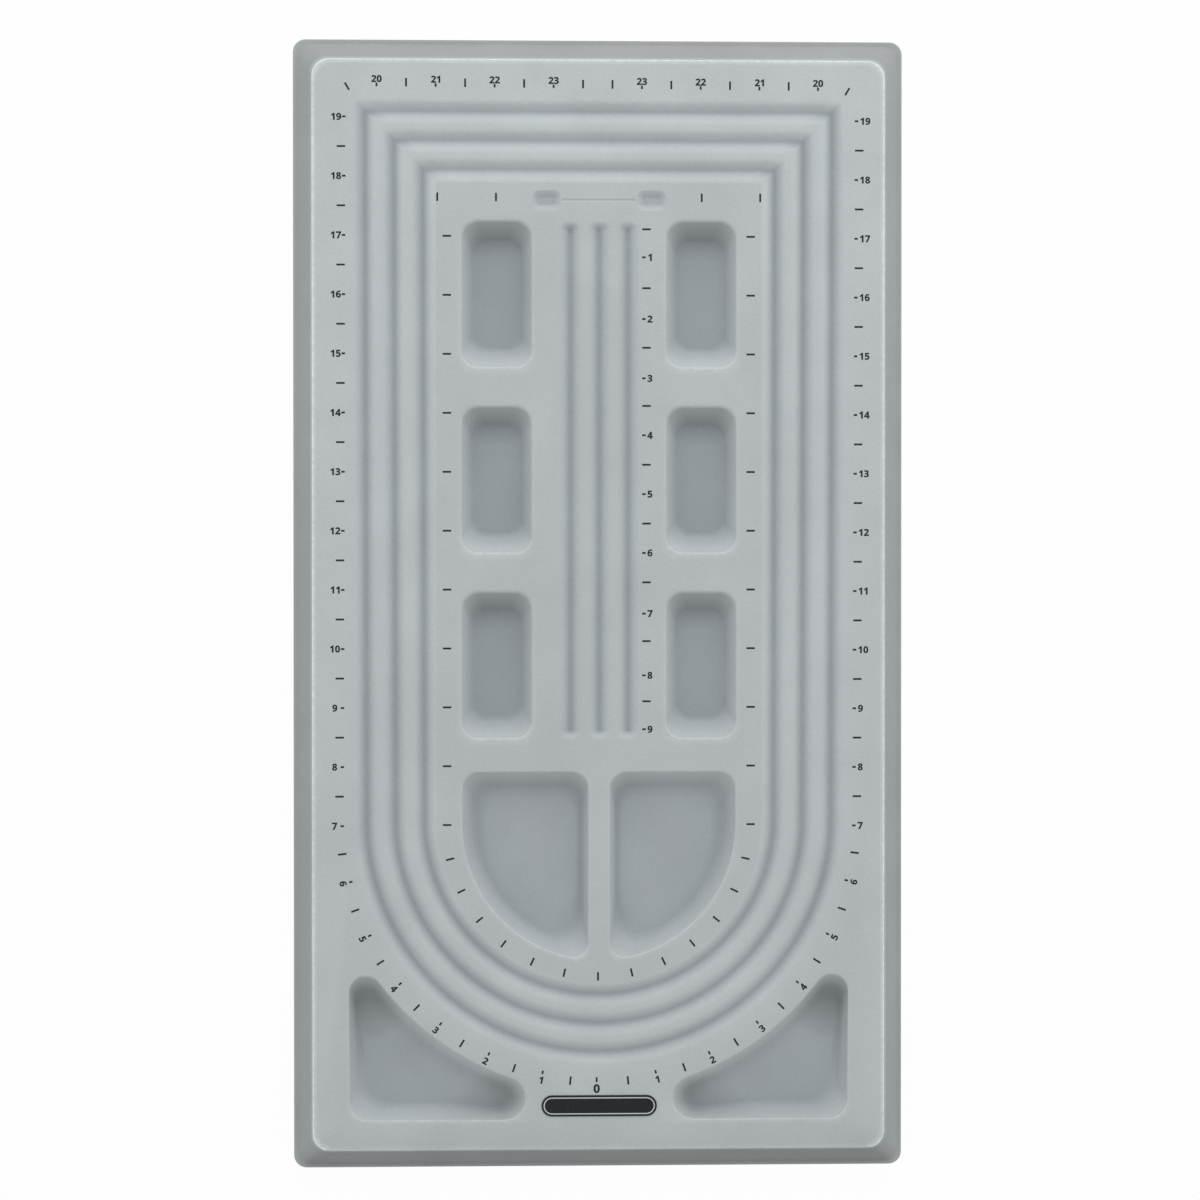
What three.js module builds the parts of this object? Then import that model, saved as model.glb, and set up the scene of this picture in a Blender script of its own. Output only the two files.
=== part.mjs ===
// Bead board: one vacuum-formed sheet, hollow underneath, with a flocked upper face and a bare badge.
// Millimetres, +Z up. +Y runs from the badge to the needle rest. The origin is under the board's middle.
import * as THREE from "three";
import { mergeGeometries, mergeVertices } from "three/addons/utils/BufferGeometryUtils.js";

// Layers of the skin, from the beads down
const pileThickness = 0.5;
const glueLine = 0.3;
const sheetThickness = 1.5;

// Channels: three that run round as a U closed along the top, and three straight ones in the middle
const channelWidth = 11.2;
const channelFloorWidth = 0.6;
const channelDepth = 4.2;
const channelShoulder = 2.2;
const channelFoot = 2;
const channelEndRun = 4;
const channelEndCorner = 4.5;
const channelFloorCorner = 0.2;
const ridgeWidth = 1.25;
const roundChannels = 3;
const straightChannels = 3;

// Walls of the deep pockets
const pocketDepth = 8.5;
const pocketWallRun = 6.2;
const pocketShoulder = 2.2;
const pocketFoot = 1.4;

// Box pockets, in a column on each side of the straight channels
const boxPocketWidth = 31.8;
const boxPocketLength = 64;
const boxPocketEndRun = 9.6;
const boxPocketCorner = 7.5;
const boxPocketFloorCorner = 6.5;
const boxPocketRows = 3;
const boxPocketRowGap = 16.05;

// Quarter pockets, a pair that shares the round end of the field
const quarterPocketRise = 21;
const quarterDivider = 9.8;
const quarterTopCorner = 7;
const quarterFootCorner = 6;

// Corner pockets, between the arc and the two lower corners of the board
const cornerPocketDrop = 67.2;
const cornerPocketCorner = 8;
const cornerPocketBadgeGap = 6;

// Rounding of the floors of the quarter and corner pockets
const curvedFloorCorner = 9;
const curvedFloorTip = 3.5;

// Needle rest: two finger wells and the groove that the needle lies in
const needleWellWidth = 11.6;
const needleWellLength = 7.8;
const needleWellSpacing = 45.4;
const needleWellCorner = 2.6;
const needleWellFloorCorner = 0.8;
const needleWellDepth = 1.8;
const needleWellRun = 2.6;
const needleWellShoulder = 0.8;
const needleWellFoot = 0.6;
const needleGrooveWidth = 1.6;
const needleGrooveRun = 0.5;
const needleGrooveEdge = 0.1;
const needleGrooveGap = 0.6;
const pileUnderNeedle = 0.2;

// Flat bands of deck between the features, most of which carry a printed scale
const rulerBand = 10.25;
const innerScaleBand = 9.9;
const quarterScaleBand = 9.1;
const outerScaleBand = 16.7;
const topScaleBand = 15.8;
const arcScaleBand = 11.5;
const badgeBand = 34.8;
const needleTopBand = 3.5;
const needleFootBand = 4.9;
const quarterTopBand = 13.1;
const cornerPocketSideBand = 15.2;
const cornerPocketFootBand = 11.5;
const badgeFootBand = 12.2;

// Outer wall and the trimmed lip that the board stands on
const wallSideRun = 8.25;
const wallEndRun = 9.75;
const wallShoulder = 2;
const wallFoot = 1.2;
const wallCorner = 7.5;
const lipWidth = 1.4;
const pocketClearance = 1.9;

// Badge
const badgeLength = 49.9;
const badgeWidth = 9.1;
const badgeThickness = 0.4;

// Facets
const shoulderSteps = 1;
const footSteps = 1;
const cornerSteps = 3;
const tipSteps = 4;
const quarterArcSteps = 7;
const cornerArcSteps = 6;
const roundEndSteps = 18;
const badgeEndSteps = 6;
const filletShare = 0.95;

// Depth of each face below the tips of the pile
const pileFoot = pileThickness;
const sheetTop = pileThickness + glueLine;
const skinThickness = sheetTop + sheetThickness;

// Heights
const boardHeight = pocketDepth + skinThickness + pocketClearance;
const wallDrop = boardHeight - skinThickness;

// Layout across the board, from the middle out
const channelHalf = channelWidth / 2;
const channelPitch = channelWidth + ridgeWidth;
const straightHalf = ((straightChannels - 1) / 2) * channelPitch + channelHalf;
const boxPocketX = straightHalf + rulerBand + boxPocketWidth / 2;
const fieldHalf = boxPocketX + boxPocketWidth / 2 + innerScaleBand;
const stackWidth = (roundChannels - 1) * channelPitch + channelWidth;
const stackHalf = fieldHalf + stackWidth;
const plateauHalfWidth = stackHalf + outerScaleBand;

// Layout along the board, from the top down
const needleBand = needleTopBand + needleWellLength + needleFootBand;
const rowsLength = boxPocketRows * boxPocketLength + (boxPocketRows - 1) * boxPocketRowGap;
const aboveArc = topScaleBand + stackWidth + needleBand + rowsLength + quarterTopBand + quarterPocketRise;
const plateauHalfLength = (aboveArc + stackHalf + badgeBand) / 2;
const fieldTop = plateauHalfLength - topScaleBand - stackWidth;
const needleY = fieldTop - needleTopBand - needleWellLength / 2;
const rowsTop = fieldTop - needleBand;
const rowsY = rowsTop - rowsLength / 2;
const quarterTop = rowsTop - rowsLength - quarterTopBand;
const arcY = quarterTop - quarterPocketRise;
const badgeY = badgeFootBand + badgeWidth / 2 - plateauHalfLength;

// Corner pockets, measured from the arc's centre: the arc, the two straight edges and the round tips
const cornerArcRadius = stackHalf + arcScaleBand;
const cornerSide = plateauHalfWidth - cornerPocketSideBand;
const cornerFoot = arcY + plateauHalfLength - cornerPocketFootBand;
const cornerSideTip = tipRadius(cornerSide, cornerPocketDrop, cornerArcRadius);
const cornerFootTip = tipRadius(cornerFoot, badgeLength / 2 + cornerPocketBadgeGap, cornerArcRadius);

// Sections of the slopes: how far each runs in plan, how far it drops, and the rounding at its two ends
const channelSection = {
  run: (channelWidth - channelFloorWidth) / 2,
  drop: channelDepth,
  shoulder: channelShoulder,
  foot: channelFoot,
};
const pocketSection = {
  run: pocketWallRun,
  drop: pocketDepth,
  shoulder: pocketShoulder,
  foot: pocketFoot,
};
const needleWellSection = {
  run: needleWellRun,
  drop: needleWellDepth,
  shoulder: needleWellShoulder,
  foot: needleWellFoot,
};
const needleGrooveSection = {
  run: needleGrooveRun,
  drop: pileThickness - pileUnderNeedle,
  shoulder: needleGrooveEdge,
  foot: needleGrooveEdge,
};
const wallSection = { run: wallSideRun, drop: wallDrop, shoulder: wallShoulder, foot: wallFoot };

// Steps down a slope, as insets in plan and drops below the pile, for the face at a depth in the skin.
// Shoulder and foot keep their centres, so every face of the skin stays parallel to the pile.
// Where the shoulder is too tight for a deep face, its two planes meet in an edge.
function slopeSteps(section, depth) {
  const { run, drop } = section;
  const roundest = Math.min(run, (run * run + drop * drop) / (2 * drop));
  const limit = Math.min(1, (filletShare * roundest) / (section.shoulder + section.foot));
  const shoulder = section.shoulder * limit;
  const foot = section.foot * limit;
  const rise = drop - shoulder - foot;
  const angle = Math.atan2(rise, run) + Math.asin((shoulder + foot) / Math.hypot(run, rise));
  const bend = shoulder - depth;
  const steps = [];
  if (bend > 0) {
    for (let i = 0; i <= shoulderSteps; i++) {
      const turn = (angle * i) / shoulderSteps;
      steps.push({ inset: bend * Math.sin(turn), drop: shoulder - bend * Math.cos(turn) });
    }
  } else {
    steps.push({ inset: bend * Math.tan(angle / 2), drop: depth });
  }
  const sole = foot + depth;
  for (let i = 0; i <= footSteps; i++) {
    const turn = angle * (1 - i / footSteps);
    steps.push({ inset: run - sole * Math.sin(turn), drop: drop - foot + sole * Math.cos(turn) });
  }
  return steps;
}

// Points along an arc, anticlockwise unless clockwise is set
function arc(x, y, radius, from, to, steps, clockwise = false) {
  return new THREE.ArcCurve(x, y, radius, from, to, clockwise).getPoints(steps);
}

// Anticlockwise rectangle with round corners
function roundedBox(x, y, halfX, halfY, corner) {
  const points = [];
  const signs = [[1, 1], [-1, 1], [-1, -1], [1, -1]];
  signs.forEach(([signX, signY], quarter) => {
    const from = (quarter * Math.PI) / 2;
    const centreX = x + signX * (halfX - corner);
    const centreY = y + signY * (halfY - corner);
    points.push(...arc(centreX, centreY, corner, from, from + Math.PI / 2, cornerSteps));
  });
  return points;
}

// The same outline on the other side of the board, still anticlockwise
function mirrored(points) {
  return points.map((point) => new THREE.Vector2(-point.x, point.y)).reverse();
}

// Corner radius at an inset down a slope, easing from the rim's to the floor's
function cornerAt(rimCorner, floorCorner, inset, run) {
  return THREE.MathUtils.lerp(rimCorner, floorCorner, Math.max(0, inset / run));
}

// Recess with a box outline, whose two ends may slope more gently than its sides
function boxRecess(section, x, y, halfX, halfY, endRun, corner, floorCorner) {
  const endShare = endRun / section.run;
  const outline = (inset) => {
    const radius = cornerAt(corner, floorCorner, inset, section.run);
    return roundedBox(x, y, halfX - inset, halfY - inset * endShare, radius);
  };
  return { section, outline };
}

// Pocket with a curved outline on the right of the board, and its twin on the left
function pocketPair(outline) {
  return [
    { section: pocketSection, outline },
    { section: pocketSection, outline: (inset) => mirrored(outline(inset)) },
  ];
}

function boxPockets() {
  const pockets = [];
  for (const side of [-1, 1]) {
    for (let row = 0; row < boxPocketRows; row++) {
      const y = rowsTop - boxPocketLength / 2 - row * (boxPocketLength + boxPocketRowGap);
      pockets.push(
        boxRecess(
          pocketSection,
          side * boxPocketX,
          y,
          boxPocketWidth / 2,
          boxPocketLength / 2,
          boxPocketEndRun,
          boxPocketCorner,
          boxPocketFloorCorner,
        ),
      );
    }
  }
  return pockets;
}

function straightChannelRecesses() {
  return Array.from({ length: straightChannels }, (_, i) => {
    const x = (i - (straightChannels - 1) / 2) * channelPitch;
    return boxRecess(
      channelSection,
      x,
      rowsY,
      channelHalf,
      rowsLength / 2,
      channelEndRun,
      channelEndCorner,
      channelFloorCorner,
    );
  });
}

function needleWells() {
  return [-1, 1].map((side) =>
    boxRecess(
      needleWellSection,
      (side * needleWellSpacing) / 2,
      needleY,
      needleWellWidth / 2,
      needleWellLength / 2,
      needleWellRun,
      needleWellCorner,
      needleWellFloorCorner,
    ),
  );
}

// Groove between the wells, pressed into the pile alone
function needleGroove() {
  const halfLength = (needleWellSpacing - needleWellWidth) / 2 - needleGrooveGap;
  return boxRecess(
    needleGrooveSection,
    0,
    needleY,
    halfLength,
    needleGrooveWidth / 2,
    needleGrooveRun,
    needleGrooveWidth / 2 - needleGrooveEdge,
    needleGrooveEdge,
  );
}

// Outline of the right quarter pocket at an inset: foot corner, outer arc and two top corners
function quarterPocketOutline(inset) {
  const inner = quarterDivider / 2 + inset;
  const outer = fieldHalf - quarterScaleBand - inset;
  const footCorner = cornerAt(quarterFootCorner, curvedFloorCorner, inset, pocketWallRun);
  const topCorner = cornerAt(quarterTopCorner, curvedFloorCorner, inset, pocketWallRun);
  const footX = inner + footCorner;
  const footY = -Math.sqrt((outer - footCorner) ** 2 - footX ** 2);
  const footTurn = Math.atan2(footY, footX);
  const topY = quarterTop - inset - topCorner;
  return [
    ...arc(footX, arcY + footY, footCorner, Math.PI, 2 * Math.PI + footTurn, cornerSteps),
    ...arc(0, arcY, outer, footTurn, 0, quarterArcSteps).slice(1),
    ...arc(outer - topCorner, topY, topCorner, 0, Math.PI / 2, cornerSteps),
    ...arc(inner + topCorner, topY, topCorner, Math.PI / 2, Math.PI, cornerSteps),
  ];
}

// Radius of the round tip that touches a straight edge and the arc, and reaches no further than its end.
// Both distances are measured from the arc's centre: to the edge, and along the edge to the end.
function tipRadius(toEdge, toEnd, radius) {
  const half = toEdge + radius - toEnd;
  return half - Math.sqrt(half ** 2 - toEdge ** 2 - toEnd ** 2 + radius ** 2);
}

// Outline of the right corner pocket at an inset: outer corner, side tip, the arc, and the tip at the badge
function cornerPocketOutline(inset) {
  const radius = cornerArcRadius + inset;
  const corner = cornerAt(cornerPocketCorner, curvedFloorCorner, inset, pocketWallRun);
  const sideTip = cornerAt(cornerSideTip, curvedFloorTip, inset, pocketWallRun);
  const footTip = cornerAt(cornerFootTip, curvedFloorTip, inset, pocketWallRun);
  const sideX = cornerSide - inset - sideTip;
  const sideY = -Math.sqrt((radius + sideTip) ** 2 - sideX ** 2);
  const footY = footTip + inset - cornerFoot;
  const footX = Math.sqrt((radius + footTip) ** 2 - footY ** 2);
  const sideTurn = Math.atan2(sideY, sideX);
  const footTurn = Math.atan2(footY, footX);
  const cornerX = cornerSide - inset - corner;
  const cornerY = arcY - cornerFoot + inset + corner;
  return [
    ...arc(cornerX, cornerY, corner, 1.5 * Math.PI, 2 * Math.PI, cornerSteps),
    ...arc(sideX, arcY + sideY, sideTip, 0, sideTurn + Math.PI, tipSteps),
    ...arc(0, arcY, radius, sideTurn, footTurn, cornerArcSteps, true).slice(1, -1),
    ...arc(footX, arcY + footY, footTip, footTurn + Math.PI, 1.5 * Math.PI, tipSteps),
  ];
}

// Loop at a distance from the middle line: square at the top, round about the arc's centre at the bottom
function roundLoop(radius) {
  const top = fieldTop + radius - fieldHalf;
  return [
    new THREE.Vector2(-radius, top),
    ...arc(0, arcY, radius, Math.PI, 2 * Math.PI, roundEndSteps),
    new THREE.Vector2(radius, top),
  ];
}

// Outline of the board at a distance outside the edge of its deck
function boardOutline(outset) {
  const endOutset = (outset * wallEndRun) / wallSideRun;
  return roundedBox(0, 0, plateauHalfWidth + outset, plateauHalfLength + endOutset, wallCorner);
}

// Rings are anticlockwise loops in space, listed from the outside of the board inwards
function ring(points, drop) {
  return points.map((point) => new THREE.Vector3(point.x, point.y, boardHeight - drop));
}

function wallRings(depth) {
  const lip = ring(boardOutline(wallSideRun + lipWidth), wallDrop + depth);
  const slope = slopeSteps(wallSection, depth).map((step) => ring(boardOutline(step.inset), step.drop));
  return [lip, ...slope.reverse()];
}

function roundChannelRings(depth) {
  const steps = slopeSteps(channelSection, depth);
  const rings = [];
  for (let i = roundChannels - 1; i >= 0; i--) {
    const middle = fieldHalf + channelHalf + i * channelPitch;
    for (const step of steps) rings.push(ring(roundLoop(middle + channelHalf - step.inset), step.drop));
    for (const step of steps.toReversed()) {
      rings.push(ring(roundLoop(middle - channelHalf + step.inset), step.drop));
    }
  }
  return rings;
}

function recessRings(recess, depth) {
  return slopeSteps(recess.section, depth).map((step) => ring(recess.outline(step.inset), step.drop));
}

// Surface between rings, facing up and out
function bands(rings) {
  const count = rings[0].length;
  const index = [];
  for (let row = 0; row + 1 < rings.length; row++) {
    for (let i = 0; i < count; i++) {
      const next = (i + 1) % count;
      const outer = row * count;
      const inner = outer + count;
      index.push(outer + i, outer + next, inner + next, outer + i, inner + next, inner + i);
    }
  }
  return new THREE.BufferGeometry().setFromPoints(rings.flat()).setIndex(index);
}

// Flat face inside a ring, with other rings as holes
function flat(outline, holes = []) {
  const inPlan = (loop) => loop.map((point) => new THREE.Vector2(point.x, point.y));
  const shape = new THREE.Shape(inPlan(outline));
  shape.holes = holes.map((hole) => new THREE.Path(inPlan(hole)));
  const face = new THREE.ShapeGeometry(shape);
  face.deleteAttribute("normal");
  face.deleteAttribute("uv");
  return face.translate(0, 0, outline[0].z);
}

function facingDown(geometry) {
  const index = Array.from(geometry.index.array);
  for (let i = 0; i < index.length; i += 3) [index[i], index[i + 1]] = [index[i + 1], index[i]];
  return geometry.setIndex(index);
}

// One whole face of the skin at a depth: wall, deck, channels, pockets and needle rest
function boardFace(depth, fieldRecesses, cornerRecesses) {
  const wall = wallRings(depth);
  const channels = roundChannelRings(depth);
  const field = fieldRecesses.map((recess) => recessRings(recess, depth));
  const corners = cornerRecesses.map((recess) => recessRings(recess, depth));
  const rims = (recesses) => recesses.map((rings) => rings[0]);
  const pieces = [
    bands(wall),
    flat(wall.at(-1), [channels[0], ...rims(corners)]),
    bands(channels),
    flat(channels.at(-1), rims(field)),
  ];
  for (const rings of [...field, ...corners]) pieces.push(bands(rings), flat(rings.at(-1)));
  return mergeGeometries(pieces);
}

// Closed layer of the skin between two depths, with a straight trimmed edge at the lip
function layer(topDepth, footDepth, pressedInTop = []) {
  const fieldRecesses = [
    ...boxPockets(),
    ...pocketPair(quarterPocketOutline),
    ...straightChannelRecesses(),
    ...needleWells(),
  ];
  const cornerRecesses = pocketPair(cornerPocketOutline);
  const top = boardFace(topDepth, [...fieldRecesses, ...pressedInTop], cornerRecesses);
  const foot = facingDown(boardFace(footDepth, fieldRecesses, cornerRecesses));
  const edge = bands([wallRings(footDepth)[0], wallRings(topDepth)[0]]);
  return mergeVertices(mergeGeometries([top, foot, edge]));
}

function badge() {
  const end = badgeWidth / 2;
  const shape = new THREE.Shape();
  shape.absarc(badgeLength / 2 - end, 0, end, -Math.PI / 2, Math.PI / 2);
  shape.absarc(end - badgeLength / 2, 0, end, Math.PI / 2, 1.5 * Math.PI);
  return new THREE.ExtrudeGeometry(shape, {
    depth: badgeThickness,
    bevelEnabled: false,
    curveSegments: badgeEndSteps,
  });
}

function named(name, geometry, material) {
  const mesh = new THREE.Mesh(geometry, material);
  mesh.name = name;
  return mesh;
}

const sheetPlastic = new THREE.MeshStandardMaterial({ color: 0xa2a7a7, roughness: 0.5, metalness: 0 });
const greyFlock = new THREE.MeshStandardMaterial({ color: 0xb8bec0, roughness: 1, metalness: 0 });
const badgeInk = new THREE.MeshStandardMaterial({ color: 0x26292b, roughness: 0.45, metalness: 0 });

const trayShell = named("tray_shell", layer(sheetTop, skinThickness), sheetPlastic);
const flockCoat = named("flock_coat", layer(0, pileFoot, [needleGroove()]), greyFlock);
const badgePlate = named("badge_plate", badge(), badgeInk);
badgePlate.position.set(0, badgeY, boardHeight);

const beadBoard = new THREE.Group();
beadBoard.add(trayShell, flockCoat, badgePlate);

export default beadBoard;
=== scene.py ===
# Looks of a bead board: a vacuum-formed sheet, flocked on its upper face and printed with a length scale.
# Metres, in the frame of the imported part: +Z up, +Y from the badge to the needle rest.
import math

import bmesh
import bpy
from mathutils import Matrix, Vector


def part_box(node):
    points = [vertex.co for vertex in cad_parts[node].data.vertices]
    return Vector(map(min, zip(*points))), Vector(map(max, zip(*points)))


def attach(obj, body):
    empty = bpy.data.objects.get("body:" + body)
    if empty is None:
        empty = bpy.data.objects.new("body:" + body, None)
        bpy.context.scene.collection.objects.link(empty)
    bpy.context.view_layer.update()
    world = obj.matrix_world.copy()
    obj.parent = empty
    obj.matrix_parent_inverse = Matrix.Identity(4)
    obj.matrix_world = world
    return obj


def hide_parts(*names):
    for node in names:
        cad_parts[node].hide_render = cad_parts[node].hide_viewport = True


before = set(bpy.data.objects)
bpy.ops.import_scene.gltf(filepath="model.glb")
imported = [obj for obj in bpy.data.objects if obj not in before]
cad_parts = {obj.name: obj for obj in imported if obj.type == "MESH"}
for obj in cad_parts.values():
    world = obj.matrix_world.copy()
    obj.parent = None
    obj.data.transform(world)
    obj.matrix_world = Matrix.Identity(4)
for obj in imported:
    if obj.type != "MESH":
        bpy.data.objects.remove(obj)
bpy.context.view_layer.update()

bl_info = {
    "name": "Bead board",
    "version": (1, 0, 0),
    "blender": (4, 5, 0),
    "location": "3D View > Sidebar > Bead board",
    "description": "Builds a flocked bead board with its printed scale, badge and studio",
    "category": "Add Mesh",
}

PILE_LOW, PILE_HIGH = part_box("flock_coat")
SHEET_LOW, SHEET_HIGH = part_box("tray_shell")
BADGE_LOW, BADGE_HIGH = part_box("badge_plate")

UP = Vector((0, 0, 1))
INCH = 0.0254
# Points nearer than this count as one
TOUCH = 1e-6
# A straight flank has a vertex near each end, so that the rounds beside it don't shade it
HOLD = (0.12, 0.88)
# What the pile's material reads at each vertex
PILE_LAYERS = ("pressed", "painted_dimming", "side_wall", "painted_highlight")
# Most values of a noise lie between these
NOISE_SPREAD = {"From Min": 0.3, "From Max": 0.7}


def length(name, description, millimetres):
    """A length that a user may change, written in millimetres."""
    return bpy.props.FloatProperty(
        name=name, description=description, default=millimetres / 1000, min=0, precision=5, unit="LENGTH"
    )


def share(name, description, part):
    """A part of the whole that a user may change."""
    return bpy.props.FloatProperty(
        name=name, description=description, default=part, min=0, max=1, subtype="FACTOR"
    )


def linear(code):
    """Linear colour of an sRGB hex value."""
    channels = [int(code[i : i + 2], 16) / 255 for i in (0, 2, 4)]
    return [c / 12.92 if c <= 0.04045 else ((c + 0.055) / 1.055) ** 2.4 for c in channels]


def colour(name, description, code):
    """A colour that a user may change, written as an sRGB hex value."""
    return bpy.props.FloatVectorProperty(
        name=name, description=description, default=linear(code), size=3, min=0, max=1, subtype="COLOR"
    )


class BoardSizes(bpy.types.PropertyGroup):
    """Sizes of the formed skin."""

    pile_thickness: length("Pile", "Height of the flock pile", 0.5)
    channel_width: length("Channel width", "From rim to rim of a bead channel", 11.2)
    channel_floor: length("Channel floor", "Flat at the bottom of a channel", 0.2)
    channel_depth: length("Channel depth", "Depth of a channel below the deck", 2.6)
    channel_shoulder: length("Channel shoulder", "Rounding at a channel's rim", 4.4)
    channel_foot: length("Channel foot", "Rounding at a channel's bottom", 1.0)
    channel_end_run: length("Channel end", "Run of the slope at a straight channel's ends", 4.0)
    channel_end_corner: length("Channel corner", "Corner of a straight channel's rim", 4.5)
    ridge: length("Ridge", "Flat between two channels", 1.25)
    pocket_depth: length("Pocket depth", "Depth of a pocket below the deck", 8.5)
    pocket_run: length("Pocket wall", "Run of a pocket's side wall in plan", 6.2)
    pocket_shoulder: length("Pocket shoulder", "Rounding at a pocket's rim", 1.3)
    pocket_foot: length("Pocket foot", "Rounding round a pocket's floor", 1.2)
    curved_run: length("Curved wall", "Run of a curved pocket's wall in plan", 6.8)
    curved_shoulder: length("Curved shoulder", "Rounding at a curved pocket's rim", 1.0)
    curved_foot: length("Curved foot", "Rounding round a curved pocket's floor", 2.6)
    box_width: length("Box pocket width", "Across a box pocket's rim", 31.8)
    box_length: length("Box pocket length", "Along a box pocket's rim", 64.0)
    box_end_run: length("Box pocket end", "Run of a box pocket's end wall in plan", 10.0)
    box_lift: length("Box pocket lift", "How far the forming draws a box pocket's upper rim up", 1.1)
    box_corner: length("Box pocket corner", "Corner of a box pocket's rim", 7.5)
    box_floor_corner: length("Box floor corner", "Corner of a box pocket's floor", 6.5)
    box_row_gap: length("Box row gap", "Deck between two rows of box pockets", 16.05)
    quarter_rise: length("Quarter pocket rise", "Straight side above the arc", 21.0)
    quarter_drop: length("Quarter drop", "How far the quarter pockets' arc lies below the channels'", 2.0)
    quarter_top_run: length("Quarter top wall", "Run of a quarter pocket's upper wall in plan", 7.4)
    quarter_divider: length("Quarter divider", "Deck between the two quarter pockets", 8.8)
    quarter_divider_run: length("Divider wall", "Run in plan of the walls beside the divider", 3.6)
    quarter_top_corner: length("Quarter top corner", "Upper corners of a quarter pocket", 7.0)
    quarter_floor_corner: length("Quarter floor", "Upper corners of a quarter pocket's floor", 9.0)
    quarter_floor_foot: length("Quarter floor foot", "Lower corner of a quarter pocket's floor", 13.0)
    quarter_foot_corner: length("Quarter foot corner", "Lower corner of a quarter pocket", 6.0)
    corner_drop: length("Corner pocket drop", "From the arc's centre down to the upper tip", 66.6)
    corner_corner: length("Corner pocket corner", "Outer corner of a corner pocket", 8.0)
    corner_arc_run: length("Corner arc wall", "Run of a corner pocket's curved wall in plan", 7.5)
    corner_floor_corner: length("Corner floor corner", "Outer corner of a corner pocket's floor", 13.0)
    corner_badge_gap: length("Corner badge gap", "From the badge to a corner pocket", 6.0)
    corner_floor_tip: length("Corner floor tip", "Floor tips of the corner pockets", 4.2)
    corner_side_run: length("Corner side wall", "Run of a corner pocket's side wall at the tip", 3.0)
    corner_foot_run: length("Corner foot wall", "Run of a corner pocket's lower wall at the tip", 4.8)
    well_width: length("Well width", "Across a finger well of the needle rest", 13.2)
    well_length: length("Well length", "Along a finger well", 9.4)
    well_spacing: length("Well spacing", "Between the middles of the wells", 45.4)
    well_corner: length("Well corner", "Corner of a well's rim", 3.6)
    well_floor_corner: length("Well floor corner", "Corner of a well's floor", 0.8)
    well_depth: length("Well depth", "Depth of a well", 1.8)
    well_run: length("Well wall", "Run of a well's wall in plan", 3.2)
    well_shoulder: length("Well shoulder", "Rounding at a well's rim", 1.2)
    well_foot: length("Well foot", "Rounding round a well's floor", 0.6)
    groove_width: length("Needle groove", "Width of the groove that the needle lies in", 1.6)
    groove_run: length("Groove wall", "Run of the groove's wall in plan", 0.5)
    groove_depth: length("Groove depth", "How deep the groove is pressed into the pile", 0.3)
    groove_edge: length("Groove edge", "Rounding of the groove's edges", 0.1)
    groove_gap: length("Groove gap", "From the groove's end to a well", 0.2)
    ruler_band: length("Ruler band", "Deck between the straight channels and the box pockets", 10.25)
    inner_band: length("Inner band", "Deck between the box pockets and the U channels", 9.9)
    quarter_band: length("Quarter band", "Deck between the quarter pockets and the U channels", 10.4)
    outer_band: length("Outer band", "Deck outside the U channels, at the sides", 17.2)
    top_band: length("Top band", "Deck outside the U channels, at the top", 16.8)
    arc_band: length("Arc band", "Deck between the U channels and the corner pockets", 11.5)
    badge_band: length("Badge band", "Deck below the U channels", 35.8)
    needle_top_band: length("Needle top band", "Deck above the needle rest", 2.7)
    needle_foot_band: length("Needle foot band", "Deck below the needle rest", 4.1)
    quarter_top_band: length("Quarter top band", "Deck above the quarter pockets", 13.1)
    corner_side_band: length("Corner side band", "Deck beside a corner pocket", 15.0)
    corner_foot_band: length("Corner foot band", "Deck below a corner pocket", 11.3)
    wall_side_run: length("Side wall", "Run of the outer wall at the sides, in plan", 7.75)
    wall_end_run: length("End wall", "Run of the outer wall at the ends, in plan", 8.809)
    wall_shoulder: length("Wall shoulder", "Rounding at the top of the outer wall", 0.9)
    wall_foot: length("Wall foot", "Rounding at the lip", 0.6)
    wall_corner: length("Wall corner", "Corners of the deck", 7.5)
    lip_corner: length("Lip corner", "Corners of the lip", 5.5)
    arc_drop: length("Arc drop", "How far the U channels' arc is drawn down by the forming", 0.8)
    foot_reach: length("Foot reach", "How far the deck's lower edge is drawn out by the forming", 0.8)
    # The painted highlight and painted shade die away over these two bands
    rim_band: length("Rim band", "Part of the deck over which a pocket's worn rim dies away", 1.8)
    wear_band: length("Wear band", "Part of the deck over which the worn edge dies away", 1.6)
    lip: length("Lip", "Width of the trimmed lip", 1.4)
    # Painted shade on walls that face the badge, away from the soft box, and in the corner pockets' tips,
    # with the floor bands where it dies away
    box_lean: share("Box lean", "How far the pile leans on the box pockets' walls", 0.61)
    quarter_lean: share("Quarter lean", "How far the pile leans on the quarter pockets' walls", 0.1)
    corner_relief: share("Corner relief", "How much less the pile is pressed on the curved walls", 0.3)
    corner_side_crowd: share("Side crowding", "How crowded the pile is in the upper corner tips", 0.9)
    corner_foot_crowd: share("Foot crowding", "How crowded the pile is in the inner corner tips", 0.6)
    corner_side_reach: length("Side reach", "How far the crowded pile reaches from an upper tip", 18.0)
    corner_foot_reach: length("Foot reach", "How far the crowded pile reaches from an inner tip", 13.0)
    wall_lean: share("Wall lean", "How far the pile leans on the outer wall", 0.7)
    wall_back_lean: share("Wall back lean", "How far the pile leans on the outer wall's far side", 0.17)
    box_fade: length("Box fade", "Part of a box pocket's floor where the lean dies away", 4.5)
    quarter_fade: length("Quarter fade", "Part of a quarter pocket's floor where the lean dies away", 4.5)
    corner_fade: length("Corner fade", "Part of a corner pocket's floor where crowding dies away", 8.0)
    # Painted highlight on the pockets' rims
    rim_wear: share("Rim wear", "Wear of the pockets' rims on the side next to the badge", 0.27)
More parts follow.
